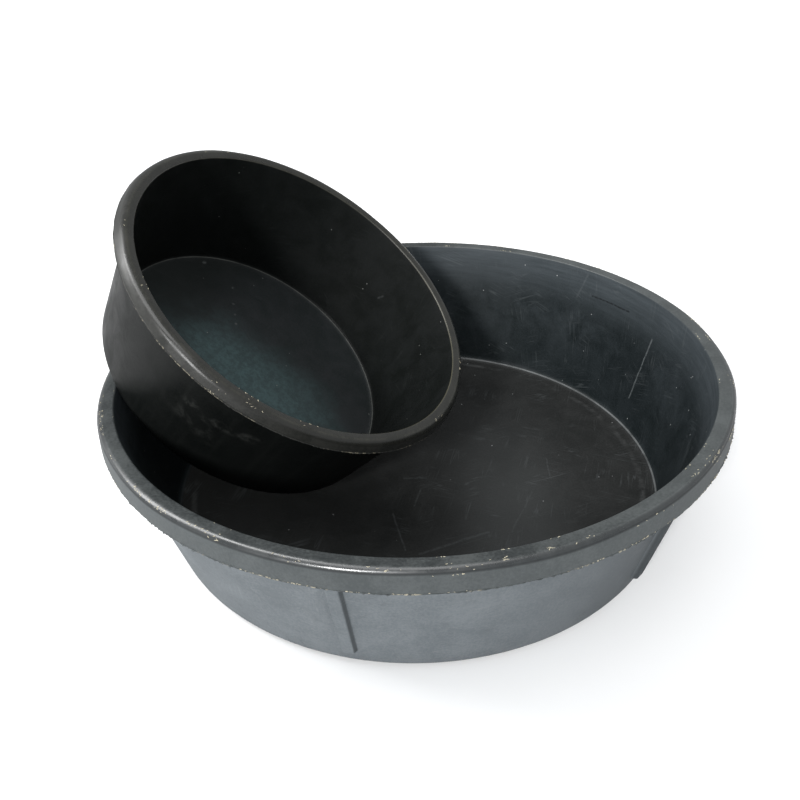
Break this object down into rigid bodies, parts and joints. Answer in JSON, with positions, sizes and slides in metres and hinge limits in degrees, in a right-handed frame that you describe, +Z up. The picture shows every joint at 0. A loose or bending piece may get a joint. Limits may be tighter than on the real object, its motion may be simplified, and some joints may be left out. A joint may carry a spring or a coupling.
{
  "type": "mortar mixing tub",
  "caption": "Round wide-rimmed rubber mixing tub with ribbed flaring walls, and a loose smaller rubber tub leaning inside it.",
  "frame": {"origin": "centre of the large tub's underside, on the ground", "axes": "+Z up along the large tub's axis; +Y points away from a viewer who sees the small tub leaning on the left; +X to that viewer's right"},
  "size_m": [0.5348, 0.5298, 0.2877],
  "materials": {
    "large_rubber": "dusty moulded recycled rubber, blue-black, with pale fibre flecks along the rim flash",
    "small_rubber": "worn moulded recycled rubber, green-black, smoother and glossier inside"
  },
  "bodies": {
    "large_tub": {"large_tub": "large_rubber"},
    "small_tub": {"small_tub": "small_rubber"}
  },
  "joints": [
    {"name": "small_tub_lift", "type": "slide", "parent": "large_tub", "child": "small_tub", "axis": [0, 0, 1], "range_m": [0, 0.16]}
  ]
}
